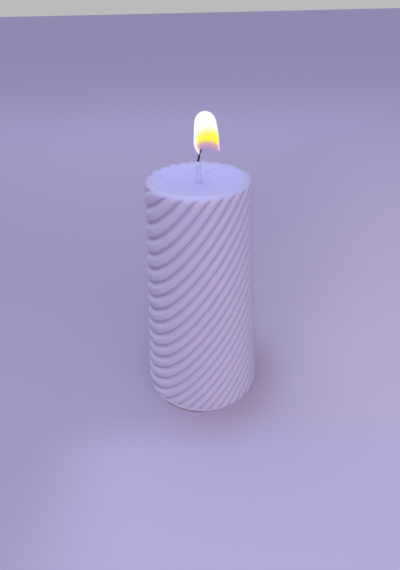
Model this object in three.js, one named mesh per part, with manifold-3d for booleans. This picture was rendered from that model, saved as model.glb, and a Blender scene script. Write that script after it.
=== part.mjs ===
// Spiral pillar candle: a tapering wax pillar wound with raised ribs, the braided cotton wick
// that runs through it, the wax coat on the wick's free end, and the metal tab that grips
// the wick's foot. Millimetres, +Z up, origin at the centre of the base. The side seen in
// the photograph faces -Y, with +X to the right.

import * as THREE from 'three';
import Module from 'manifold-3d';
import { mergeVertices } from 'three/addons/utils/BufferGeometryUtils.js';

// Pillar
const PILLAR_HEIGHT = 110;
const BASE_RADIUS = 29.8;
const TOP_RADIUS = 21.8;
const FLARE_POWER = 1.14; // 1 tapers evenly, more flares the foot
const TOP_EDGE_RADIUS = 2.8;
const DISH_DEPTH = 2.1; // how far the top sinks towards the wick
const FOOT_HEIGHT = 0.8; // plain edge below the ribs

// Ribs
const RIB_COUNT = 20; // ribs crossed on one level turn round the pillar
const RIB_SPACING = 6.54; // mean height from one groove to the next
const GROOVE_DEPTH = 1.2;
const GROOVE_HALF_WIDTH = 0.32; // over the spacing
const GROOVE_SHARPNESS = 1.3; // 1 cuts plain V grooves, more rounds their shoulders
const RIB_CROWN = 0.15; // how far the middle of a rib stands over its edges
const RIB_PHASE = 0.08; // share of a spacing by which the grooves are shifted up
const RIB_FADE = 1.2; // height over which the grooves run out at either end
const STEEP_SIDE = THREE.MathUtils.degToRad(-75); // where the ribs climb most steeply
const CLIMB_SWING_FOOT = 0.985; // share by which the climb changes round the foot
const CLIMB_SWING_TOP = 0.27; // and round the top
const CLIMB_BEND_FOOT = 0.255; // share by which the gentle sides of the foot are flatter
const SEAM_DEPTH = 0.1; // depth on the two gentle sides over the full depth
const SEAM_WIDTH = THREE.MathUtils.degToRad(20); // from a gentle side to full depth

// Wick
const WICK_RADIUS = 0.55;
const WICK_FREE_LENGTH = 13; // from the floor of the dish to the tip
const WICK_BEND_LENGTH = 5;
const WICK_LEAN = 1.3; // how far the tip leans towards +X
const WICK_TIP_RADIUS = 0.35;

// Wax coat on the wick
const COAT_LENGTH = 8.2; // from the floor of the dish
const COAT_WALL = 0.25;
const COAT_FLARE = 0.6; // spread of the wax at the coat's foot
const COAT_FLARE_HEIGHT = 1;

// Metal tab under the wick
const TAB_RADIUS = 7.5;
const TAB_THICKNESS = 0.4;
const TAB_INSET = 0.5; // height of the tab's underside above the base
const NECK_HEIGHT = 4;
const NECK_WALL = 0.3;

const FIT_CLEARANCE = 0.3;

// Mesh fineness
const COLUMNS = 64;
const ROWS_PER_RIB = 4;
const EDGE_STEPS = 4;
const DISH_STEPS = 5;
const ROUND_SIDES = 12;
const BEND_STEPS = 6;

const DISH_FLOOR = PILLAR_HEIGHT - DISH_DEPTH;

const wasm = await Module();
wasm.setup();

function bodyGeometry(positions, triangles) {
  const geometry = new THREE.BufferGeometry();
  geometry.setAttribute('position', new THREE.Float32BufferAttribute(positions, 3));
  geometry.setIndex(triangles);
  geometry.computeVertexNormals();
  return geometry;
}

function toSolid(geometry) {
  const bare = geometry.clone();
  bare.deleteAttribute('normal');
  bare.deleteAttribute('uv');
  const merged = mergeVertices(bare, 1e-5);
  const vertProperties = new Float32Array(merged.attributes.position.array);
  const triVerts = new Uint32Array(merged.index.array);
  return new wasm.Manifold(new wasm.Mesh({ numProp: 3, vertProperties, triVerts }));
}

function toGeometry(solid) {
  const mesh = solid.getMesh();
  return bodyGeometry(Array.from(mesh.vertProperties), Array.from(mesh.triVerts));
}

// A solid turned about Z from (radius, height) points that start and end on the axis, or
// that close on themselves.
function turned(profile, sides) {
  const points = profile.map(([radius, height]) => new THREE.Vector2(radius, height));
  const geometry = new THREE.LatheGeometry(points, sides);
  geometry.rotateX(Math.PI / 2);
  return geometry;
}

function rod(radius, bottom, top, sides) {
  return turned([[0, bottom], [radius, bottom], [radius, top], [0, top]], sides);
}

// Radius of the pillar over the crests of its ribs
function crestRadius(height) {
  const below = 1 - height / PILLAR_HEIGHT;
  return TOP_RADIUS + (BASE_RADIUS - TOP_RADIUS) * below ** FLARE_POWER;
}

// How far round, in radians, the ribs run ahead of an even climb at the foot. They climb
// steeply at STEEP_SIDE and opposite it, and gently on the two sides between.
function leadAtFoot(angle) {
  const off = angle - STEEP_SIDE;
  return CLIMB_SWING_FOOT / 2 * Math.sin(2 * off) - CLIMB_BEND_FOOT / 4 * Math.sin(4 * off);
}

function leadAtTop(angle) {
  return CLIMB_SWING_TOP / 2 * Math.sin(2 * (angle - STEEP_SIDE));
}

// Height of a groove at an angle. It gains RIB_COUNT spacings on each turn, and the lead
// changes evenly from foot to top.
function grooveHeight(angle, groove) {
  const ribsPerRadian = RIB_COUNT / (2 * Math.PI);
  const atFoot = groove + RIB_PHASE + ribsPerRadian * (angle + leadAtFoot(angle));
  const leadGain = (leadAtTop(angle) - leadAtFoot(angle)) / PILLAR_HEIGHT;
  return atFoot / (1 / RIB_SPACING - ribsPerRadian * leadGain);
}

// Depth of the surface below the crests, for a distance in ribs from the nearest groove:
// broad faces that meet in grooves, shallower on the two gentle sides, where a mould parts
function grooveDepth(angle, fromGroove, height, low, high) {
  const toEnd = Math.min(height - low, high - height);
  const fade = Math.min(1, Math.max(0, toEnd / RIB_FADE));
  const offSeam = Math.min(1, Math.abs(Math.cos(angle - STEEP_SIDE)) / Math.sin(SEAM_WIDTH));
  const share = SEAM_DEPTH + (1 - SEAM_DEPTH) * offSeam;
  const hollow = Math.max(0, 1 - fromGroove / GROOVE_HALF_WIDTH) ** GROOVE_SHARPNESS;
  const crown = Math.cos(fromGroove * Math.PI) ** 2;
  return fade * share * (GROOVE_DEPTH * hollow + RIB_CROWN * crown);
}

// The pillar without its bore. Rows of vertices follow the grooves, and stop at the foot
// and at the shoulder, where the rounded top edge begins.
function pillarBlank() {
  const low = FOOT_HEIGHT;
  const high = PILLAR_HEIGHT - TOP_EDGE_RADIUS;
  const positions = [];
  const triangles = [];
  const seen = new Map();

  function vertex(column, radius, height) {
    const key = `${column % COLUMNS} ${radius.toFixed(6)} ${height.toFixed(6)}`;
    if (!seen.has(key)) {
      const angle = (column % COLUMNS) / COLUMNS * 2 * Math.PI;
      seen.set(key, positions.length / 3);
      positions.push(radius * Math.cos(angle), radius * Math.sin(angle), height);
    }
    return seen.get(key);
  }

  function triangle(a, b, c) {
    if (a !== b && b !== c && c !== a) {
      triangles.push(a, b, c);
    }
  }

  function strip(lower, upper) {
    for (let i = 0; i < COLUMNS; i += 1) {
      triangle(lower(i), lower(i + 1), upper(i + 1));
      triangle(lower(i), upper(i + 1), upper(i));
    }
  }

  // Past the last column a row goes on as the row RIB_COUNT ribs further up in column 0.
  function wallVertex(column, row) {
    const turns = Math.floor(column / COLUMNS);
    const angle = (column % COLUMNS) / COLUMNS * 2 * Math.PI;
    const groove = row / ROWS_PER_RIB + turns * RIB_COUNT;
    const height = Math.min(high, Math.max(low, grooveHeight(angle, groove)));
    const fromGroove = Math.abs(groove - Math.round(groove));
    return vertex(column, crestRadius(height) - grooveDepth(angle, fromGroove, height, low, high), height);
  }

  const turnRise = RIB_COUNT * RIB_SPACING;
  const rowHeight = RIB_SPACING / ROWS_PER_RIB;
  const firstRow = Math.floor((low - 2 * turnRise) / rowHeight);
  const lastRow = Math.ceil((high + turnRise) / rowHeight);
  for (let row = firstRow; row < lastRow; row += 1) {
    strip((column) => wallVertex(column, row), (column) => wallVertex(column, row + 1));
  }

  strip(
    (column) => vertex(column, crestRadius(0), 0),
    (column) => vertex(column, crestRadius(low), low),
  );
  function edgeVertex(step) {
    const tilt = step / EDGE_STEPS * Math.PI / 2;
    const radius = crestRadius(high) - TOP_EDGE_RADIUS * (1 - Math.cos(tilt));
    const height = step === EDGE_STEPS ? PILLAR_HEIGHT : high + TOP_EDGE_RADIUS * Math.sin(tilt);
    return (column) => vertex(column, radius, height);
  }
  for (let step = 0; step < EDGE_STEPS; step += 1) {
    strip(edgeVertex(step), edgeVertex(step + 1));
  }
  // Height of the dish: level at its rim and at its floor, with an even slope between
  function dishVertex(step) {
    const share = 1 - step / DISH_STEPS;
    const radius = share * (crestRadius(high) - TOP_EDGE_RADIUS);
    const height = PILLAR_HEIGHT - DISH_DEPTH * (1 - share ** 2) ** 2;
    return (column) => (step === DISH_STEPS ? vertex(0, 0, DISH_FLOOR) : vertex(column, radius, height));
  }
  for (let step = 0; step < DISH_STEPS; step += 1) {
    strip(dishVertex(step), dishVertex(step + 1));
  }
  strip(() => vertex(0, 0, 0), (column) => vertex(column, crestRadius(0), 0));
  return bodyGeometry(positions, triangles);
}

// The pillar has a bore for the wick, a wider bore for the tab's neck and a shallow recess
// for its disc.
function waxBody() {
  const neckRadius = WICK_RADIUS + FIT_CLEARANCE + NECK_WALL;
  const neckTop = TAB_INSET + TAB_THICKNESS + NECK_HEIGHT;
  const past = 5;
  const bores = [
    rod(WICK_RADIUS + FIT_CLEARANCE, -past, PILLAR_HEIGHT + past, ROUND_SIDES),
    rod(neckRadius + FIT_CLEARANCE, -past, neckTop + FIT_CLEARANCE, ROUND_SIDES),
    rod(TAB_RADIUS + FIT_CLEARANCE, -past, TAB_INSET + TAB_THICKNESS + FIT_CLEARANCE, 3 * ROUND_SIDES),
  ];
  let solid = toSolid(pillarBlank());
  for (const bore of bores) {
    solid = solid.subtract(toSolid(bore));
  }
  return toGeometry(solid);
}

// The wick stands straight in its bore and its coat, then bends over and thins at the tip.
function wick() {
  const foot = new THREE.Vector3(0, 0, TAB_INSET);
  const top = DISH_FLOOR + WICK_FREE_LENGTH;
  const bendStart = new THREE.Vector3(0, 0, top - WICK_BEND_LENGTH);
  const bendMiddle = new THREE.Vector3(0, 0, top - WICK_BEND_LENGTH / 2);
  const bend = new THREE.QuadraticBezierCurve3(bendStart, bendMiddle, new THREE.Vector3(WICK_LEAN, 0, top));
  const rings = [{ centre: foot, along: new THREE.Vector3(0, 0, 1), radius: WICK_RADIUS }];
  for (let step = 0; step <= BEND_STEPS; step += 1) {
    const share = step / BEND_STEPS;
    rings.push({
      centre: bend.getPoint(share),
      along: bend.getTangent(share),
      radius: THREE.MathUtils.lerp(WICK_RADIUS, WICK_TIP_RADIUS, share ** 2),
    });
  }
  const positions = [];
  const triangles = [];
  const across = new THREE.Vector3(0, 1, 0);
  for (const { centre, along, radius } of rings) {
    const side = new THREE.Vector3().crossVectors(across, along).normalize();
    for (let i = 0; i < ROUND_SIDES; i += 1) {
      const angle = i / ROUND_SIDES * 2 * Math.PI;
      const point = centre.clone();
      point.addScaledVector(side, radius * Math.cos(angle));
      point.addScaledVector(across, radius * Math.sin(angle));
      positions.push(point.x, point.y, point.z);
    }
  }
  for (let ring = 0; ring < rings.length - 1; ring += 1) {
    for (let i = 0; i < ROUND_SIDES; i += 1) {
      const a = ring * ROUND_SIDES + i;
      const b = ring * ROUND_SIDES + (i + 1) % ROUND_SIDES;
      triangles.push(a, b, b + ROUND_SIDES, a, b + ROUND_SIDES, a + ROUND_SIDES);
    }
  }
  const last = (rings.length - 1) * ROUND_SIDES;
  for (let i = 1; i < ROUND_SIDES - 1; i += 1) {
    triangles.push(0, i + 1, i, last, last + i, last + i + 1);
  }
  return bodyGeometry(positions, triangles);
}

// A sleeve of wax on the lower part of the free wick, spread at its foot where it meets the
// pillar and rounded off at the top.
function wickCoat() {
  const inner = WICK_RADIUS + FIT_CLEARANCE;
  const outer = inner + COAT_WALL;
  const bottom = DISH_FLOOR + FIT_CLEARANCE;
  const top = DISH_FLOOR + COAT_LENGTH;
  return turned([
    [inner, bottom],
    [outer + COAT_FLARE, bottom],
    [outer + COAT_FLARE / 4, bottom + COAT_FLARE_HEIGHT / 2],
    [outer, bottom + COAT_FLARE_HEIGHT],
    [outer, top - COAT_WALL],
    [inner + COAT_WALL / 3, top],
    [inner, top],
    [inner, bottom],
  ], ROUND_SIDES);
}

// A thin disc with an upright neck that is crimped round the foot of the wick
function wickTab() {
  const inner = WICK_RADIUS + FIT_CLEARANCE;
  const discTop = TAB_INSET + TAB_THICKNESS;
  return turned([
    [inner, TAB_INSET],
    [TAB_RADIUS, TAB_INSET],
    [TAB_RADIUS, discTop],
    [inner + NECK_WALL, discTop],
    [inner + NECK_WALL, discTop + NECK_HEIGHT],
    [inner, discTop + NECK_HEIGHT],
    [inner, TAB_INSET],
  ], 3 * ROUND_SIDES);
}

const candle = new THREE.Group();

function addPart(name, geometry, color, roughness, metalness) {
  const material = new THREE.MeshStandardMaterial({ color, roughness, metalness });
  const mesh = new THREE.Mesh(geometry, material);
  mesh.name = name;
  candle.add(mesh);
}

addPart('wax_body', waxBody(), 0xa99cc8, 0.45, 0);
addPart('wick', wick(), 0xe6e2da, 0.9, 0);
addPart('wick_wax_coat', wickCoat(), 0xd9d6e6, 0.4, 0);
addPart('wick_tab', wickTab(), 0xb8babd, 0.35, 1);

export default candle;
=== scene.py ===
"""Looks of the spiral pillar candle: the ribbed wax pillar, its braided wick with a charred
tip, the film of wax that still coats the wick, the metal tab under it, and the flame, in
front of a plain pale stage. Metres, +Z up, origin at the centre of the base. The side seen
in the photograph faces -Y, with +X to the right."""

import math

import bpy
import numpy as np
from bpy.props import FloatProperty, FloatVectorProperty, IntProperty, PointerProperty
from mathutils import Matrix, Vector


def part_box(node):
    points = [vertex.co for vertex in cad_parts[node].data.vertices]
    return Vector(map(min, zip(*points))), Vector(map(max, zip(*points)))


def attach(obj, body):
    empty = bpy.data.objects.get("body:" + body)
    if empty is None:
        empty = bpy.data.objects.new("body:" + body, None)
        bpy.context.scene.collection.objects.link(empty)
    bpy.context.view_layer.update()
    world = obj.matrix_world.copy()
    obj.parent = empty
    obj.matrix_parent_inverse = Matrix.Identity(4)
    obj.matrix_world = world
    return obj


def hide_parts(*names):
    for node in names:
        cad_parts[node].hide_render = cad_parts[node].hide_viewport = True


bl_info = {
    "name": "Spiral pillar candle",
    "version": (1, 0, 0),
    "blender": (4, 5, 0),
    "location": "3D View > Sidebar > Candle",
    "description": "Makes a lit pillar candle with spiral ribs, and a stage for it",
    "category": "Add Mesh",
}

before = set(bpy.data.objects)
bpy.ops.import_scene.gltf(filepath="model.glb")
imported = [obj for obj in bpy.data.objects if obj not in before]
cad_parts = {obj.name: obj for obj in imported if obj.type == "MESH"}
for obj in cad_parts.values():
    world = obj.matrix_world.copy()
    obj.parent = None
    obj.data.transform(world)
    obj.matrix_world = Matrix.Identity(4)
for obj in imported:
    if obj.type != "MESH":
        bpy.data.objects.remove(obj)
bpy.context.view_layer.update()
MM = 0.001
TURN = 2 * math.pi
QUARTER = math.pi / 2
IMAGE_SIDE = 570
SENSOR_SIDE = 36.0

# Rows and columns of the meshes.
PILLAR_COLUMNS = 400
FOOT_ROWS, WALL_ROWS, EDGE_ROWS, TOP_ROWS = 9, 196, 15, 21
WICK_ROWS, WICK_COLUMNS = 620, 36
COAT_ROWS, COAT_COLUMNS = 70, 48
FLAME_ROWS, FLAME_COLUMNS = 90, 64

# Where the top has small pits, as (x, y).
TOP_PITS = ((-0.0152, 0.0026), (0.0040, 0.0088), (0.0012, -0.0012))

PILLAR_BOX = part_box("wax_body")
WICK_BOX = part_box("wick")
COAT_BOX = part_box("wick_wax_coat")
TAB_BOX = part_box("wick_tab")


def length(name, default, description, **settings):
    """A size in metres that a user may change."""
    return FloatProperty(
        name=name, default=default, description=description, unit="LENGTH", precision=5, **settings
    )


def angle(name, default, description):
    """An angle in radians that a user may change."""
    return FloatProperty(name=name, default=default, description=description, unit="ROTATION")


def share(name, default, description):
    """A plain number that a user may change."""
    return FloatProperty(name=name, default=default, description=description, precision=3)


def colour(name, default, description):
    """A colour that a user may change, as linear red, green and blue."""
    return FloatVectorProperty(
        name=name, default=default, description=description, subtype="COLOR", size=3, min=0, max=1
    )


class PillarSizes(bpy.types.PropertyGroup):
    """Sizes of the wax pillar."""

    height: length("Height", PILLAR_BOX[1].z, "Height of the rim above the base")
    base_radius: length("Base radius", PILLAR_BOX[1].x, "Radius of the foot")
    top_radius: length("Top radius", 0.0218, "Radius under the rounded top edge")
    flare: share("Flare", 1.14, "1 tapers evenly, more flares the foot")
    lip: length("Top edge", 0.0028, "Radius of the rounded top edge")
    foot: length("Foot", 0.0008, "Plain edge below the ribs")
    dish: length("Dish", 0.0021, "How far the top sinks towards the wick")
    bore: length("Bore", 0.00085, "Radius of the wick's bore")
    recess_radius: length("Recess radius", 0.0078, "Radius of the recess for the tab")
    recess_depth: length("Recess depth", 0.0012, "Depth of the recess for the tab")
    neck_radius: length("Neck bore", 0.00145, "Radius of the bore for the tab's neck")
    neck_top: length("Neck top", 0.0052, "Top of the bore for the tab's neck")


class RibSizes(bpy.types.PropertyGroup):
    """Sizes of the ribs that wind round the pillar."""

    count: IntProperty(name="Ribs", default=20, description="Ribs crossed on one level turn")
    spacing: length("Spacing", 0.00644, "Mean height from one groove to the next")
    depth: length("Depth", 0.0012, "Depth of a groove below the crests")
    half_width: share("Half width", 0.32, "Half a groove's width over the spacing")
    sharpness: share("Sharpness", 1.3, "1 cuts plain V grooves, more rounds their shoulders")
    crown: length("Crown", 0.00015, "How far the middle of a rib stands over its edges")
    phase: share("Phase", 0.296, "Share of a spacing by which the grooves are shifted up")
    steep_side: angle("Steep side", math.radians(-73.2), "Where the ribs climb most steeply")
    swing_foot: share("Swing at the foot", 0.99, "Share by which the climb changes round it")
    swing_top: share("Swing at the top", 0.336, "Share by which the climb changes round it")
    bend_foot: share("Bend at the foot", 0.217, "Share by which the gentle sides are flatter")
    hook_foot: share("Hook at the foot", -0.35, "Radians by which the ribs run ahead at the sides")
    hook_top: share("Hook at the top", 0.139, "Radians by which the ribs run ahead at the sides")
    seam: angle("Seam", math.radians(-170), "Where the mould's halves meet, and opposite it")
    seam_depth: share("Seam depth", 0.05, "Depth of a groove on the seams over the full one")
    seam_width: angle("Seam width", math.radians(13), "Angle from a seam to the full depth")
    rim_depth: share("Depth at the rim", 0.82, "Depth of a groove under the edge over the full one")
    edge_depth: share("Depth on the edge", 0.58, "Depth of a groove on the edge over the full one")
    top_depth: share("Depth on the top", 0.4, "Depth of a groove at the flat top over the full one")
    top_reach: length("Reach on the top", 0.0016, "How far the grooves run in over the top")
    wear: share("Wear", 1.0, "Share by which the front of the top edge is smoother")
    foot_fade: length("Foot fade", 0.0006, "Height over which the grooves start at the foot")


class WickSizes(bpy.types.PropertyGroup):
    """Sizes of the wick and its coat of wax."""

    radius: length("Radius", 0.00055, "Radius of the braid")
    top: length("Tip height", WICK_BOX[1].z, "Height of the tip above the base")
    foot: length("Foot height", WICK_BOX[0].z, "Height of the wick's lower end")
    lean: length("Lean", 0.0014, "How far the tip leans to +X")
    bend: length("Bend", 0.005, "Length of the bend under the tip")
    char_from: length("Char from", COAT_BOX[1].z, "Height where the charred part starts")
    coat_radius: length("Coat radius", 0.0011, "Radius of the wax film")
    coat_top: length("Coat top", COAT_BOX[1].z, "Height where the film ends")
    coat_foot: share("Coat foot", 0.62, "Thickness of the film at the pillar over that at its top")
    coat_flare: length("Coat flare", 0.0002, "Spread of the film where it meets the pillar")
    plait: length("Plait", 0.0021, "Height of one turn of the braid")


class FlameSizes(bpy.types.PropertyGroup):
    """Sizes of the flame."""

    width: length("Width", 0.0097, "Width where it is widest")
    thickness: length("Thickness", 0.0085, "Depth from front to back")
    bottom: length("Bottom", 0.1190, "Height of its lowest point")
    top: length("Top", 0.1344, "Height of its highest point")
    offset: length("Offset", 0.0033, "Shift of its middle towards +X")
    arch: length("Arch", 0.0033, "Height of the clear zone over its lowest point")
    rose: length("Rose", 0.0017, "Height of the rose zone over the clear one")
    gold: length("Gold", 0.0053, "Height of the gold zone over the rose one")


class CandleColours(bpy.types.PropertyGroup):
    """Colours of the wax, the wick and the flame."""

    wax: colour("Wax", (0.387, 0.336, 0.51), "Side of the pillar")
    # Painted shade: this colour darkens the down-facing upper walls of the grooves, and the pits on
    # the top.
    groove: colour("Groove", (0.26, 0.19, 0.37), "Bottoms of the grooves")
    # Partly painted shade: random warm clouds, and a warm tint on the down-facing lower part of
    # each rib.
    warm_clouds_and_shade: colour("Blush", (0.428, 0.34, 0.507), "Warm tint on parts of the ribs")
    # Painted highlight: the pale, bluer upper edge of each rib stands in for light from above.
    ledge_highlight: colour("Ledge", (0.50, 0.49, 0.76), "Upper edge of a rib, under the groove above it")
    # Painted light: the top and the rim below it are bluer and paler than the side, standing in for
    # light from above.
    top: colour("Top", (0.42, 0.42, 0.855), "Top of the pillar")
    rim: colour("Rim", (0.392, 0.392, 0.715), "Rounded edge of the top")
    film: colour("Film", (0.60, 0.61, 0.90), "Wax film on the wick")
    cotton: colour("Cotton", (0.36, 0.34, 0.46), "Cotton soaked with wax")
    char: colour("Char", (0.012, 0.006, 0.04), "Charred cotton")
    metal: colour("Metal", (0.50, 0.51, 0.53), "Tab under the wick")
    flame_rim: colour("Flame rim", (1.0, 1.0, 1.0), "Upper part and left edge of the flame")
    flame_gold: colour("Flame gold", (1.0, 0.96, 0.08), "Inside of the flame")
    flame_rose: colour("Flame rose", (0.88, 0.40, 0.42), "Edge over the dark zone")


class StageSettings(bpy.types.PropertyGroup):
    """Camera, lamps and floor."""

    camera_distance: length("Camera distance", 0.15146, "Level distance from the pillar's axis")
    camera_height: length("Camera height", 0.16435, "Height of the camera above the floor")
    camera_pitch: angle("Camera pitch", math.radians(35.384), "How far the camera looks down")
    camera_yaw: angle("Camera yaw", math.radians(-0.149), "Turn of the camera to +X")
    camera_roll: angle("Camera roll", math.radians(-1.298), "Roll of the camera")
    camera_pixels: share("Focal pixels", 386.75, "Focal length in pixels of a 570 pixel side")
    floor: colour("Floor", (0.35, 0.322, 0.53), "Floor to the left")
    # Painted light: the floor is paler to the right.
    lit_floor_right: colour("Floor right", (0.47, 0.42, 0.64), "Floor to the right")
    # Painted light: the floor further away is paler, where the lamps reach less.
    lit_far_floor: colour("Backdrop", (0.54, 0.49, 0.86), "Floor further away")
    # Painted light: paler floor in front of the foot.
    front: colour("Front", (0.448, 0.413, 0.695), "Floor in front of the foot")
    # Painted shade: darker floor under the lamps in front, against their pool of light.
    shaded_under_lamps: colour("Near lamp", (0.19, 0.17, 0.29), "Floor under the lamps in front")
    # Painted shadow: warm shade on the floor beside the foot, towards the right and front.
    base_shadow: colour("Near base", (0.41, 0.32, 0.49), "Floor beside the foot")
    # Painted shadow: the thin dark line where the foot meets the floor.
    contact_shadow: colour("Contact", (0.26, 0.12, 0.12), "Line where the foot meets the floor")
    over_strength: share("Overhead", 1.2, "Strength of the lamp overhead")
    front_strength: share("Front", 3.1, "Strength of the low lamp in front")
    right_strength: share("Right", 1.2, "Strength of the lamp in front on the right")
    left_strength: share("Left", 1.5, "Strength of the lamp in front on the left")
    world_strength: share("World", 0.5, "Strength of the soft light all round")


class Socket:
    """A shader value with Python's operators, which add Math nodes."""

    def __init__(self, tree, output):
        self.tree = tree
        self.output = output

    def _math(self, operation, *values):
        return self.tree.node("ShaderNodeMath", {"operation": operation}, values)

    def __add__(self, other):
        return self._math("ADD", self, other)

    def __sub__(self, other):
        return self._math("SUBTRACT", self, other)

    def __mul__(self, other):
        return self._math("MULTIPLY", self, other)

    def __pow__(self, other):
        return self._math("POWER", self, other)

    def __neg__(self):
        return self._math("MULTIPLY", self, -1.0)

    def __radd__(self, other):
        return self._math("ADD", other, self)

    def __rsub__(self, other):
        return self._math("SUBTRACT", other, self)

    def __rmul__(self, other):
        return self._math("MULTIPLY", other, self)

    def sine(self):
        """The sine of the value."""
        return self._math("SINE", self)

    def clamp(self):
        """The value held between 0 and 1."""
        return self.tree.node(
            "ShaderNodeMath", {"operation": "ADD", "use_clamp": True}, (self, 0.0)
        )

    def ramp(self, low, high):
        """0 where the value is below low, 1 above high, and smooth between."""
        return self.tree.node(
            "ShaderNodeMapRange",
            {"interpolation_type": "SMOOTHSTEP"},
            {"Value": self, "From Min": low, "From Max": high},
        )


class Material:
    """A node material that is written as Python expressions."""

    def __init__(self, name):
        self.made = bpy.data.materials.new(name)
        self.made.use_nodes = True
        self.nodes = self.made.node_tree.nodes
        self.links = self.made.node_tree.links
        self.nodes.clear()

    def node(self, kind, settings=None, inputs=(), output=0):
        """Adds a node of that kind, sets its settings and then its inputs, which are numbers,
        colours or sockets, by order or by name. Returns one output, if any is asked for."""
        made = self.nodes.new(kind)
        for key, value in (settings or {}).items():
            setattr(made, key, value)
        given = inputs.items() if isinstance(inputs, dict) else enumerate(inputs)
        for key, value in given:
            if isinstance(value, Socket):
                self.links.new(value.output, made.inputs[key])
            else:
                made.inputs[key].default_value = value
        return None if output is None else Socket(self, made.outputs[output])

    def coordinates(self):
        """Object coordinates as one vector and as x, y and z."""
        place = self.node("ShaderNodeTexCoord", output="Object")
        parts = [self.node("ShaderNodeSeparateXYZ", {}, (place,), axis) for axis in "XYZ"]
        return place, parts

    def attribute(self, name):
        """A number that the mesh holds at each vertex."""
        return self.node("ShaderNodeAttribute", {"attribute_name": name}, output="Fac")

    def noise(self, place, scale, detail, roughness):
        """Soft noise from 0 to 1 with that many waves to a metre."""
        return self.node(
            "ShaderNodeTexNoise",
            {},
            {"Vector": place, "Scale": scale, "Detail": detail, "Roughness": roughness},
        )

    def mix(self, factor, low, high):
        """A colour between low and high."""
        return self.node(
            "ShaderNodeMix",
            {"data_type": "RGBA"},
            {0: factor, 6: rgba(low), 7: rgba(high)},
            output=2,
        )

    def bump(self, height, distance, strength):
        """A normal from a height field."""
        return self.node(
            "ShaderNodeBump", {}, {"Height": height, "Distance": distance, "Strength": strength}
        )

    def surface(self, **inputs):
        """Joins a Principled shader to the output, with these values of its sockets."""
        named = {key.replace("_", " "): value for key, value in inputs.items()}
        shader = self.node("ShaderNodeBsdfPrincipled", {}, named)
        self.node("ShaderNodeOutputMaterial", {}, {"Surface": shader}, output=None)
        return self.made


def rgba(value):
    """A colour with its alpha, or a socket as it is."""
    return value if isinstance(value, Socket) else (*value, 1.0)


def smooth(low, high, value):
    """0 below low, 1 above high, and 3t^2 - 2t^3 between, with t the share of the way."""
    t = np.clip((value - low) / (high - low), 0, 1)
    return t * t * (3 - 2 * t)


def turns(columns):
    """Angles of that many columns, evenly round one turn."""
    return np.arange(columns) / columns * TURN


def grid_faces(rows, columns, wrap_rows=False):
    """Quads between neighbouring rows and columns of a grid whose columns close on themselves."""
    row = np.arange(rows if wrap_rows else rows - 1)
    column = np.arange(columns)
    near, far = row * columns, (row + 1) % rows * columns
    after = (column + 1) % columns
    near, far = near[:, None], far[:, None]
    quads = np.stack([near + column, near + after, far + after, far + column], axis=-1)
    return quads.reshape(-1, 4)


def add_piece(name, points, faces, material, slot=None, replaces=(), attributes=None):
    """Makes a smooth mesh object at the origin that rides on the candle."""
    mesh = bpy.data.meshes.new(name)
    mesh.from_pydata(points, [], faces)
    mesh.polygons.foreach_set("use_smooth", np.ones(len(mesh.polygons), bool))
    for key, values in (attributes or {}).items():
        mesh.attributes.new(key, "FLOAT", "POINT").data.foreach_set(
            "value", np.asarray(values, np.float32).ravel()
        )
    mesh.validate()
    mesh.update()
    piece = bpy.data.objects.new(name, mesh)
    bpy.context.scene.collection.objects.link(piece)
    mesh.materials.append(material)
    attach(piece, "root")
    if replaces:
        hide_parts(*replaces)
    return piece


def capped_tube(name, rings, material, **settings):
    """A closed tube through rings of points, lowest first, with a fan to the middle of each
    end ring."""
    rows, columns = rings.shape[:2]
    points = np.concatenate([rings.reshape(-1, 3), rings[[0, -1]].mean(axis=1)])
    first = np.arange(columns)
    after = (first + 1) % columns
    last = (rows - 1) * columns
    low = np.stack([after, first, np.full(columns, rows * columns)], axis=-1)
    high = np.stack([last + first, last + after, np.full(columns, rows * columns + 1)], axis=-1)
    faces = grid_faces(rows, columns).tolist() + low.tolist() + high.tolist()
    return add_piece(name, points, faces, material, **settings)


def crest_radius(pillar, height):
    """Radius over the crests: the top radius, and the flare, which grows as a power of the
    distance below the rim."""
    below = np.clip(1 - height / pillar.height, 0, 1)
    return pillar.top_radius + (pillar.base_radius - pillar.top_radius) * below**pillar.flare


def rib_place(pillar, ribs, turn, height):
    """Which rib a point lies on. Whole numbers are groove bottoms. A groove climbs one spacing
    for each rib of a turn, steeply on the steep side and opposite it, gently between. The turn
    is led by half the swing times the sine of twice the angle from the steep side, less a
    quarter of the bend times the sine of four times that angle, and by the hook over the sum
    of 5 and four times the cosine of twice that angle, which is the whole hook halfway between
    the steep sides. All three change evenly from foot to top."""
    up = height / pillar.height
    swing = ribs.swing_foot + (ribs.swing_top - ribs.swing_foot) * up
    bend = ribs.bend_foot * (1 - up)
    hook = ribs.hook_foot + (ribs.hook_top - ribs.hook_foot) * up
    off = turn - ribs.steep_side
    lead = swing / 2 * np.sin(2 * off) - bend / 4 * np.sin(4 * off)
    lead = lead + hook / (5 + 4 * np.cos(2 * off))
    rise = ribs.count * (turn + lead) / TURN
    return height / ribs.spacing - rise - ribs.phase


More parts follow.
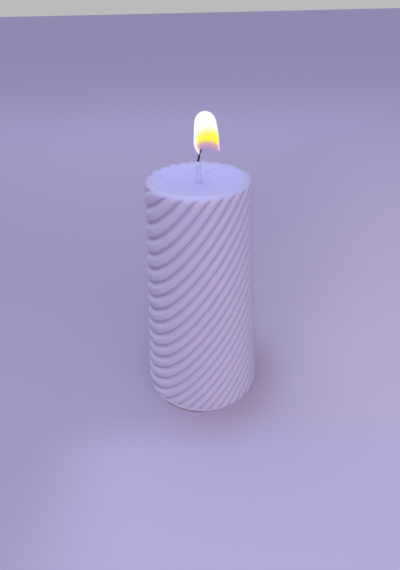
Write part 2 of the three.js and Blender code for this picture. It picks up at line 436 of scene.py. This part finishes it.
def wall_profile(pillar, ribs):
    """The pillar's outline as rows of (radius, height, share of groove), from the bore down and
    out under the foot, up the ribbed wall, over the rounded edge and in to the bore again. The
    edge is a quarter circle. The top sinks by the dish times the square of 1 less the squared
    share of its radius, and its rows lie closer towards the edge, as a power of the share of
    rows. The grooves grow shallower over the edge and end a short way in over the top."""
    rim = pillar.height - pillar.lip
    neck = crest_radius(pillar, rim)
    tilt = np.linspace(0, QUARTER, EDGE_ROWS)[1:]
    bent = tilt / QUARTER
    edge_radius = neck - pillar.lip * (1 - np.cos(tilt))
    edge_height = rim + pillar.lip * np.sin(tilt)
    edge_groove = (ribs.rim_depth - ribs.edge_depth) * (1 - smooth(0.1, 0.6, bent))
    edge_groove = edge_groove + ribs.edge_depth
    edge_groove = edge_groove - (ribs.edge_depth - ribs.top_depth) * smooth(0.7, 1, bent)
    foot_height = np.linspace(pillar.foot, pillar.foot + 2 * MM, FOOT_ROWS)
    upper_height = np.linspace(pillar.foot + 2.5 * MM, rim, WALL_ROWS)
    wall_height = np.concatenate([foot_height, upper_height])
    wall_radius = crest_radius(pillar, wall_height)
    wall_groove = 1 - (1 - ribs.rim_depth) * smooth(rim - 2 * MM, rim, wall_height)
    inner = edge_radius[-1]
    at_bore = pillar.bore + 0.05 * MM
    power = 1.6
    inwards = np.linspace(0, 1, TOP_ROWS)[1:] ** power
    top_radius = np.append(inner + (at_bore - inner) * inwards, pillar.bore)
    top_height = pillar.height - pillar.dish * (1 - (top_radius / inner) ** 2) ** 2
    top_groove = ribs.top_depth * (1 - smooth(0, ribs.top_reach, inner - top_radius))
    foot_radius = crest_radius(pillar, 0)
    under = np.array([
        [pillar.bore, pillar.neck_top],
        [pillar.neck_radius, pillar.neck_top],
        [pillar.neck_radius, pillar.recess_depth],
        [pillar.recess_radius, pillar.recess_depth],
        [pillar.recess_radius, 0],
        [foot_radius - 0.2 * MM, 0],
        [foot_radius - 0.05 * MM, 0.05 * MM],
        [foot_radius, 0.2 * MM],
    ])
    radius = np.concatenate([under[:, 0], wall_radius, edge_radius, top_radius])
    height = np.concatenate([under[:, 1], wall_height, edge_height, top_height])
    groove = np.concatenate([np.zeros(len(under)), wall_groove, edge_groove, top_groove])
    return radius, height, groove


class MakePillar(bpy.types.Operator):
    """Makes the wax pillar with its ribs"""

    # A groove is as deep as the share of the way to its middle, to the power of the sharpness.
    # It fades at the foot, at the two seams and on the front of the top edge, and each point
    # moves in square to the outline by its depth and the crown's.

    bl_idname = "candle.make_pillar"
    bl_label = "Wax pillar"

    def execute(self, context):
        scene = context.scene
        pillar, ribs = scene.candle_pillar, scene.candle_ribs
        radius, height, groove = wall_profile(pillar, ribs)
        turn = turns(PILLAR_COLUMNS)
        place = rib_place(pillar, ribs, turn[None, :], height[:, None])
        across = place - np.round(place)
        hollow = np.clip(1 - np.abs(across) / ribs.half_width, 0, 1) ** ribs.sharpness
        fade = (groove * smooth(0, ribs.foot_fade, height - pillar.foot))[:, None]
        off_seam = np.abs(np.sin(turn - ribs.seam))
        full = smooth(0, math.sin(ribs.seam_width), off_seam)
        fade = fade * (ribs.seam_depth + (1 - ribs.seam_depth) * full)
        worn_from = pillar.height - 0.85 * pillar.lip
        worn_to = pillar.height - 0.2 * pillar.lip
        on_edge = smooth(worn_from, worn_to, height)[:, None]
        fade = fade * (1 - ribs.wear * on_edge * smooth(-0.35, 0.25, -np.sin(turn)))
        crown = (1 + np.cos(TURN * across)) / 2
        drop = fade * (ribs.depth * hollow + ribs.crown * crown)
        slope_r, slope_z = np.gradient(radius), np.gradient(height)
        never_zero = 1e-9
        reach = np.hypot(slope_r, slope_z) + never_zero
        out_r, out_z = slope_z / reach, -slope_r / reach
        ring = radius[:, None] - drop * out_r[:, None]
        level = height[:, None] - drop * out_z[:, None]
        points = np.stack(
            [ring * np.cos(turn), ring * np.sin(turn), np.broadcast_to(level, ring.shape)], axis=-1
        )
        add_piece(
            "wax_pillar",
            points.reshape(-1, 3),
            grid_faces(len(radius), PILLAR_COLUMNS, wrap_rows=True),
            wax_material(scene),
            slot="wax",
            replaces=("wax_body",),
            attributes={
                "hollow": hollow * fade,
                "across": across * np.minimum(1, fade * 3),
                # Mask of the seams, used for a painted highlight on the left seam.
                "seam_highlight": (groove > 0)[:, None] * (1 - full),
            },
        )
        return {"FINISHED"}


def wax_material(scene):
    """Lilac wax: a bluer, paler top and rim, painted light from above, with small pits darkened by
    painted shade and ripples round the wick; grooves darkened purple by painted shade; painted
    highlights on the pale ledges under the grooves and in a pale stripe on the left seam; warm
    clouds in the colour, which also paint warm shade on the lower part of each rib; and a faint
    grain. The painted shade and highlights are stronger on the left side."""
    tints, pillar = scene.candle_colours, scene.candle_pillar
    m = Material("lilac candle wax")
    place, (x, y, z) = m.coordinates()
    hollow = m.attribute("hollow")
    across = m.attribute("across")
    seam_highlight = m.attribute("seam_highlight")
    clouds = m.noise(place, 90.0, 3.0, 0.55)
    fine = m.noise(place, 420.0, 3.0, 0.6)
    grain = m.noise(place, 1400.0, 2.0, 0.6)

    # left and far_left set how strongly shade and highlights are painted on the side facing left.
    left = 1.0 - x.ramp(-0.026, 0.004)
    far_left = 1.0 - x.ramp(-0.024, -0.012)
    # Random warm clouds, and painted warm shade on the down-facing lower part of each rib, weaker
    # on the left.
    warm_clouds_and_shade = (clouds.ramp(0.42, 0.66) * 0.5 + across.ramp(0.12, 0.42) * 0.5).clamp()
    # Painted highlight on the up-facing edge under each groove, stronger on the left.
    ledge_highlight = across.ramp(-0.42, -0.3) * (1.0 - across.ramp(-0.14, -0.04))
    # Painted shade on the down-facing upper wall of each groove, where shade falls, stronger on the
    # left.
    dark = hollow.ramp(0.1, 0.8) * across.ramp(-0.08, 0.05)
    side = m.mix(warm_clouds_and_shade * (1.0 - 0.8 * left), tints.wax, tints.warm_clouds_and_shade)
    # Painted light: the side grows slightly bluer towards the top, as in light from above.
    side = m.mix(z.ramp(0.05, pillar.height) * 0.09, side, tints.top)
    side = m.mix(ledge_highlight * (0.12 + 0.25 * left + 0.45 * far_left), side, tints.ledge_highlight)
    # Painted highlight: a pale stripe along the seam, on the left side only.
    side = m.mix(seam_highlight * left * 0.4, side, tints.ledge_highlight)
    side = m.mix(dark * (0.4 + 0.55 * left), side, tints.groove)

    from_axis = (x * x + y * y) ** 0.5
    outer = from_axis.ramp(pillar.top_radius - 4.2 * MM, pillar.top_radius - 2.2 * MM)
    dished = z.ramp(pillar.height - 4 * MM, pillar.height - 3 * MM) * (1.0 - outer)
    to_top = (z.ramp(pillar.height - 2.4 * MM, pillar.height - 0.5 * MM) + dished).clamp()
    pits = 0.0
    for pit_x, pit_y in TOP_PITS:
        off = ((x - pit_x) ** 2 + ((y - pit_y) * 1.4) ** 2) ** 0.5
        pits = pits + (1.0 - off.ramp(0.2 * MM, 1.3 * MM))
    from_wick = from_axis + (clouds - 0.5) * (4 * MM)
    ripple_length = 2.2 * MM
    ripples = (from_wick * (TURN / ripple_length)).sine() * clouds.ramp(0.45, 0.6)
    ripples = ripples * (1.0 - from_wick.ramp(4 * MM, 11 * MM))

    # Painted light from above: the top and rim colours are bluer and paler than the side.
    whole = m.mix(to_top, side, m.mix(outer, tints.top, tints.rim))
    # Painted shade in the pits: they are darkened with the groove colour as well as bumped.
    whole = m.mix(pits * to_top * 0.35, whole, tints.groove)
    shade = m.node("ShaderNodeHueSaturation", {}, {"Value": 0.97 + 0.06 * fine, "Color": whole})
    relief = fine * 0.7 + grain * 0.3 + to_top * (ripples * 0.8 - pits * 1.5)
    return m.surface(
        Base_Color=shade,
        Roughness=0.42 + 0.16 * grain,
        Normal=m.bump(relief, 0.22 * MM, 0.5),
        Subsurface_Weight=0.12,
        Subsurface_Radius=(0.0025, 0.0018, 0.003),
        Subsurface_Scale=1.0,
        Specular_IOR_Level=0.4,
    )


def wick_path(wick, rows):
    """Middle line of the wick: straight up, then a bend whose lean grows as a power of the way
    along it. Returns the points and the direction across the bend."""
    height = np.linspace(wick.foot, wick.top, rows)
    way = np.clip((height - wick.top + wick.bend) / wick.bend, 0, 1)
    power = 1.4
    lean = wick.lean * way**power
    slope = power * wick.lean * way ** (power - 1) / wick.bend
    middle = np.stack([lean, 0 * height, height], axis=-1)
    across = np.stack([np.ones(rows), 0 * height, -slope], axis=-1)
    return middle, across / np.linalg.norm(across, axis=1)[:, None]


class MakeWick(bpy.types.Operator):
    """Makes the braided wick, charred at the tip"""

    # The braid's radius swells with the greater of two cosines that wind opposite ways, and
    # two sets of waves that cross crumble the char.

    bl_idname = "candle.make_wick"
    bl_label = "Wick"

    def execute(self, context):
        scene = context.scene
        wick = scene.candle_wick
        middle, across = wick_path(wick, WICK_ROWS)
        turn = turns(WICK_COLUMNS)
        height = middle[:, 2][:, None]
        twist = TURN * height / wick.plait
        plait = np.maximum(np.cos(3 * turn + twist), np.cos(3 * turn - twist))
        charred = smooth(wick.char_from, wick.char_from + 1 * MM, height)
        fine, coarse = 9 / MM, 5.2 / MM
        crumble = np.sin(5 * turn + fine * height) * np.sin(2 * turn - coarse * height)
        way = (height - wick.top + wick.bend) / wick.bend
        thin = (1 - 0.22 * charred) * (1 - 0.3 * smooth(0.0, 1.0, way) ** 2)
        rounding = 0.35 * MM
        end = np.sqrt(np.clip((wick.top - height) / rounding, 0, 1)) * 0.85 + 0.15
        relief = 0.86 + 0.14 * plait + 0.10 * charred * crumble
        radius = wick.radius * relief * thin * end
        side = across[:, None, :] * np.cos(turn)[None, :, None]
        forward = np.array([0, 1, 0]) * np.sin(turn)[None, :, None]
        rings = middle[:, None, :] + radius[..., None] * (side + forward)
        ends = np.zeros(2)
        capped_tube(
            "braided_wick",
            rings,
            wick_material(scene),
            slot="wick_cotton",
            replaces=("wick",),
            attributes={"plait": np.concatenate([plait.ravel(), ends])},
        )
        return {"FINISHED"}


def wick_material(scene):
    """Waxed cotton that turns to matt black char over the coat, with dark lines between the
    strands and a trace of ash at the very tip."""
    tints, wick = scene.candle_colours, scene.candle_wick
    m = Material("braided cotton wick")
    place, (_, _, z) = m.coordinates()
    plait = m.attribute("plait")
    speck = m.noise(place, 2600.0, 3.0, 0.6)
    edge = z + (speck - 0.5) * (1.2 * MM)
    charred = edge.ramp(wick.char_from - 0.4 * MM, wick.char_from + 0.4 * MM)
    strand = m.mix(plait.ramp(-0.6, 0.7), tuple(0.6 * c for c in tints.cotton), tints.cotton)
    soot = m.mix(speck.ramp(0.55, 0.8) * 0.5, tints.char, (0.06, 0.05, 0.09))
    return m.surface(
        Base_Color=m.mix(charred, strand, soot),
        Roughness=0.55 + 0.4 * charred,
        Normal=m.bump(speck, 0.12 * MM, 0.6),
        Specular_IOR_Level=0.3,
    )


class MakeCoat(bpy.types.Operator):
    """Makes the film of wax on the lower part of the free wick"""

    # A sleeve that thickens evenly from foot to top, with a slow wave, a foot that spreads as
    # a falling exponential, and a top that closes as a square root.

    bl_idname = "candle.make_coat"
    bl_label = "Wax film"

    def execute(self, context):
        scene = context.scene
        wick, pillar = scene.candle_wick, scene.candle_pillar
        floor = pillar.height - pillar.dish
        outer_height = np.linspace(floor - 0.3 * MM, wick.coat_top, COAT_ROWS)
        up = outer_height - floor
        whole = wick.coat_top - floor
        turn = turns(COAT_COLUMNS)
        flare = wick.coat_flare * np.exp(-np.clip(up, 0, None) / (0.45 * MM))
        drip = 0.07 * MM * np.sin(up / whole * 9.0)
        closing = np.sqrt(np.clip((wick.coat_top - outer_height) / (0.5 * MM), 0, 1))
        taper = wick.coat_foot + (1 - wick.coat_foot) * up / whole
        thick = (wick.coat_radius - wick.radius) * taper + drip
        slim = wick.radius + 0.03 * MM + thick * closing
        outer = (slim + flare)[:, None] * (
            1 + 0.05 * np.sin(2 * turn + up[:, None] * 700) + 0.03 * np.sin(3 * turn + 1)
        )
        inner_height = outer_height[::-1]
        inner = np.full((COAT_ROWS, COAT_COLUMNS), wick.radius * 0.75)
        radius = np.concatenate([outer, inner])
        height = np.concatenate([outer_height, inner_height])
        level = np.broadcast_to(height[:, None], radius.shape)
        points = np.stack([radius * np.cos(turn), radius * np.sin(turn), level], axis=-1)
        add_piece(
            "wick_film",
            points.reshape(-1, 3),
            grid_faces(len(height), COAT_COLUMNS, wrap_rows=True),
            film_material(scene),
            slot="coat_wax",
            replaces=("wick_wax_coat",),
        )
        return {"FINISHED"}


def film_material(scene):
    """Thin whitish wax that lets the cotton show through, clouded along its length."""
    tints = scene.candle_colours
    m = Material("thin wax film")
    place, _ = m.coordinates()
    clouds = m.noise(place, 700.0, 3.0, 0.6)
    return m.surface(
        Base_Color=m.mix(clouds.ramp(0.3, 0.7) * 0.4, tints.film, tints.top),
        Roughness=0.3 + 0.15 * clouds,
        Alpha=0.72,
        Normal=m.bump(clouds, 0.2 * MM, 0.4),
    )


class FinishTab(bpy.types.Operator):
    """Gives the metal tab under the wick its finish"""

    bl_idname = "candle.finish_tab"
    bl_label = "Metal tab"

    def execute(self, context):
        tints = context.scene.candle_colours
        m = Material("tinned steel")
        place, (x, y, _) = m.coordinates()
        radians_per_metre = 9 / MM
        rings = ((x * x + y * y) ** 0.5 * radians_per_metre).sine()
        stain = m.noise(place, 500.0, 4.0, 0.6)
        tone = m.mix(stain.ramp(0.4, 0.75) * 0.5, tints.metal, tuple(0.7 * c for c in tints.metal))
        made = m.surface(
            Base_Color=tone,
            Metallic=1.0,
            Roughness=0.28 + 0.22 * stain,
            Normal=m.bump(rings * 0.5 + stain, 0.03 * MM, 0.5),
        )
        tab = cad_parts["wick_tab"]
        tab.data.materials.clear()
        tab.data.materials.append(made)
        return {"FINISHED"}


class MakeFlame(bpy.types.Operator):
    """Makes the flame on the wick's tip"""

    # Level ellipses that lie closer together towards both ends, as a cosine does. Their
    # middles are furthest to +X at the foot and draw back towards the tip.

    bl_idname = "candle.make_flame"
    bl_label = "Flame"

    def execute(self, context):
        scene = context.scene
        flame = scene.candle_flame
        turn = turns(FLAME_COLUMNS)
        way = (1 - np.cos(np.linspace(0, math.pi, FLAME_ROWS))) / 2
        tall = flame.top - flame.bottom
        half = flame.width / 2 * flame_outline(way)
        deep = flame.thickness / flame.width
        middle = flame.offset + 0.8 * MM * (1 - smooth(0, 0.25, way))
        middle = middle - 0.5 * MM * smooth(0.25, 1, way)
        x = middle[:, None] + half[:, None] * np.cos(turn)
        y = half[:, None] * deep * np.sin(turn)
        z = np.broadcast_to((flame.bottom + tall * way)[:, None], x.shape)
        across = np.broadcast_to(np.cos(turn), x.shape).ravel()
        flame_piece = capped_tube(
            "flame",
            np.stack([x, y, z], axis=-1),
            flame_material(scene),
            attributes={"across": np.concatenate([across, np.zeros(2)])},
        )
        flame_piece.visible_shadow = False
        flame_piece.visible_diffuse = False
        return {"FINISHED"}


def flame_outline(way):
    """Half width over the greatest half width: a foot that swells as a quarter circle to the
    belly, sides that draw in slowly, and from the shoulder a blunt tip that closes as a
    superellipse."""
    foot, belly, shoulder, least = 0.72, 0.25, 0.6, 0.01
    to_belly = np.clip(way / belly, 0, 1)
    swell = foot + (1 - foot) * np.sqrt(1 - (1 - to_belly) ** 2)
    to_tip = np.clip((way - shoulder) / (1 - shoulder), 0, 1)
    tip = (1 - to_tip**3.4) ** 0.55
    sides = 1 - 0.16 * smooth(belly, 0.9, way)
    return np.maximum(swell * tip * sides, least)


def flame_material(scene):
    """Light without a surface: white over most of its height, gold lower down, then a rose
    edge over an arched clear zone round the wick. A white line runs up the left side and a
    fainter one up the right."""
    tints, flame = scene.candle_colours, scene.candle_flame
    m = Material("flame")
    _, (_, _, z) = m.coordinates()
    across = m.attribute("across")
    over = z - flame.bottom - flame.arch * (1.0 - across * across * 0.75)
    gold = over.ramp(0.9 * flame.rose, 2.1 * flame.rose)
    pale_from, pale_to = flame.rose + 0.5 * flame.gold, flame.rose + 1.3 * flame.gold
    white = (over - across * (0.9 * MM)).ramp(pale_from, pale_to)
    left = (-across).ramp(0.62, 0.90)
    right = across.ramp(0.80, 0.98)
    tone = m.mix(gold, tints.flame_rose, tints.flame_gold)
    tone = m.mix(white, tone, tints.flame_rim)
    tone = m.mix((left + right * 0.6).clamp(), tone, tints.flame_rim)
    foot = (z - flame.bottom - (across + 1.0) * (0.4 * MM)).ramp(0.0, 0.9 * MM)
    body = over.ramp(-0.5 * flame.rose, 1.9 * flame.rose)
    density = (body + left + right * 0.6).clamp() * foot
    return m.surface(
        Base_Color=(0.0, 0.0, 0.0, 1.0),
        Specular_IOR_Level=0.0,
        Roughness=1.0,
        Emission_Color=tone,
        Emission_Strength=1.0,
        Alpha=density,
    )


class MakeStage(bpy.types.Operator):
    """Makes the floor, the lamps and the camera"""

    bl_idname = "candle.make_stage"
    bl_label = "Stage"

    def execute(self, context):
        scene = context.scene
        settings = scene.candle_stage
        self.floor(floor_material(scene))
        self.lamps(settings)
        self.world(settings)
        self.camera(settings)
        scene.view_settings.view_transform = "Standard"
        return {"FINISHED"}

    def floor(self, material):
        """A level sheet that reaches far past the view on all sides, just under the foot."""
        lines, half_side = 13, 40.0
        reach = np.linspace(-half_side, half_side, lines)
        x, y = np.meshgrid(reach, reach)
        points = np.stack([x, y, np.full_like(x, -0.05 * MM)], axis=-1).reshape(-1, 3)
        near = np.arange(lines - 1)[:, None] * lines + np.arange(lines - 1)
        far = near + lines
        faces = np.stack([near, near + 1, far + 1, far], axis=-1).reshape(-1, 4)
        mesh = bpy.data.meshes.new("floor")
        mesh.from_pydata(points, [], faces)
        mesh.materials.append(material)
        sheet = bpy.data.objects.new("floor", mesh)
        bpy.context.scene.collection.objects.link(sheet)

    def lamps(self, settings):
        """One broad lamp overhead and three in front, all turned to the pillar's middle, as
        name, place, width and strength."""
        aim = Vector((0, 0, 0.05))
        lamps = (
            ("over", (-0.05, 0.08, 0.60), 0.45, settings.over_strength),
            ("front", (0.0, -0.85, 0.22), 0.7, settings.front_strength),
            ("right", (0.55, -0.60, 0.30), 0.6, settings.right_strength),
            ("left", (-0.55, -0.60, 0.30), 0.6, settings.left_strength),
        )
        for name, place, size, energy in lamps:
            light = bpy.data.lights.new(name, "AREA")
            light.shape = "DISK"
            light.size = size
            light.energy = energy
            lamp = bpy.data.objects.new(name, light)
            lamp.location = place
            lamp.rotation_mode = "QUATERNION"
            towards = aim - lamp.location
            lamp.rotation_quaternion = towards.to_track_quat("-Z", "Y")
            bpy.context.scene.collection.objects.link(lamp)

    def world(self, settings):
        """Soft plain light from all round."""
        world = bpy.data.worlds.new("soft light")
        world.use_nodes = True
        sky = world.node_tree.nodes["Background"]
        sky.inputs["Color"].default_value = (1.0, 0.98, 1.0, 1.0)
        sky.inputs["Strength"].default_value = settings.world_strength
        bpy.context.scene.world = world

    def camera(self, settings):
        """The photograph's view, as distance, height and angles round the pillar's foot."""
        pitch, yaw, roll = settings.camera_pitch, settings.camera_yaw, settings.camera_roll
        forward = Vector((
            math.sin(yaw) * math.cos(pitch), math.cos(yaw) * math.cos(pitch), -math.sin(pitch)
        ))
        right = Vector((math.cos(yaw), -math.sin(yaw), 0))
        up = right.cross(forward)
        level_right = math.cos(roll) * right + math.sin(roll) * up
        level_up = -math.sin(roll) * right + math.cos(roll) * up
        turn = Matrix((level_right, level_up, -forward)).transposed()
        camera = bpy.data.cameras.new("camera")
        camera.sensor_width = SENSOR_SIDE
        camera.lens = settings.camera_pixels / IMAGE_SIDE * SENSOR_SIDE
        camera.clip_start = 0.005
        camera.clip_end = 100
        holder = bpy.data.objects.new("camera", camera)
        holder.matrix_world = Matrix.Translation(
            (0, -settings.camera_distance, settings.camera_height)
        ) @ turn.to_4x4()
        bpy.context.scene.collection.objects.link(holder)
        bpy.context.scene.camera = holder


def floor_material(scene):
    """Matt floor whose tones follow the photograph's paler and darker parts as painted light and
    shade: painted light to the right, further away and in front, painted shade under the lamps in
    front, a painted warm shadow beside the foot, and a painted shadow on a thin dark line at the
    front left of the foot, where the candle meets it."""
    settings = scene.candle_stage
    foot = scene.candle_pillar.base_radius
    m = Material("pale floor")
    _, (x, y, _) = m.coordinates()
    from_axis = (x * x + y * y) ** 0.5
    forward = -y
    to_right = (x * 0.9 - y * 0.45).ramp(-0.06, 0.10)
    in_front = forward.ramp(0.028, 0.056) * x.ramp(-0.085, -0.025)
    shade_side = (x * 0.65 - y * 0.55).ramp(-0.01, 0.032) * 0.85 + 0.06
    beside = 1.0 - from_axis.ramp(foot + 0.2 * MM, foot + 22.2 * MM)
    # Painted shadow: a thin dark ring at the foot's edge, on its front left.
    line = from_axis.ramp(foot - 0.8 * MM, foot)
    line = line * (1.0 - from_axis.ramp(foot + 0.1 * MM, foot + 0.7 * MM))
    front_left = (x * -0.34 - y * 0.94).ramp(foot - 2.3 * MM, foot - 0.6 * MM)
    # Painted light: paler to the right.
    tone = m.mix(to_right, settings.floor, settings.lit_floor_right)
    # Painted light: paler further away, where the lamps reach less.
    tone = m.mix(y.ramp(0.05, 0.62), tone, settings.lit_far_floor)
    # Painted light: paler in front of the foot.
    tone = m.mix(in_front, tone, settings.front)
    # Painted shade under the lamps in front, against their pool of light.
    tone = m.mix(forward.ramp(0.25, 0.6), tone, settings.shaded_under_lamps)
    # Painted shadow beside the foot, towards the right and front.
    tone = m.mix(beside * shade_side, tone, settings.base_shadow)
    tone = m.mix(line * front_left * 0.9, tone, settings.contact_shadow)
    return m.surface(Base_Color=tone, Roughness=0.9, Specular_IOR_Level=0.1)


class CandlePanel(bpy.types.Panel):
    """Lists the candle's pieces and its stage"""

    bl_idname = "VIEW3D_PT_candle"
    bl_label = "Candle"
    bl_space_type = "VIEW_3D"
    bl_region_type = "UI"
    bl_category = "Candle"

    def draw(self, context):
        for group, kind in GROUPS.items():
            box = self.layout.box()
            box.label(text=kind.__doc__)
            for key in kind.__annotations__:
                box.prop(getattr(context.scene, group), key)
        for operator in OPERATORS:
            self.layout.operator(operator.bl_idname)


GROUPS = {
    "candle_pillar": PillarSizes,
    "candle_ribs": RibSizes,
    "candle_wick": WickSizes,
    "candle_flame": FlameSizes,
    "candle_colours": CandleColours,
    "candle_stage": StageSettings,
}
OPERATORS = (MakePillar, MakeWick, MakeCoat, FinishTab, MakeFlame, MakeStage)
CLASSES = (*GROUPS.values(), *OPERATORS, CandlePanel)


def register():
    for kind in CLASSES:
        bpy.utils.register_class(kind)
    for name, kind in GROUPS.items():
        setattr(bpy.types.Scene, name, PointerProperty(type=kind))


def unregister():
    for name in GROUPS:
        delattr(bpy.types.Scene, name)
    for kind in reversed(CLASSES):
        bpy.utils.unregister_class(kind)


def main():
    register()
    for operator in OPERATORS:
        group, name = operator.bl_idname.split(".")
        getattr(getattr(bpy.ops, group), name)()
    bpy.context.view_layer.update()


if __name__ == "__main__":
    main()
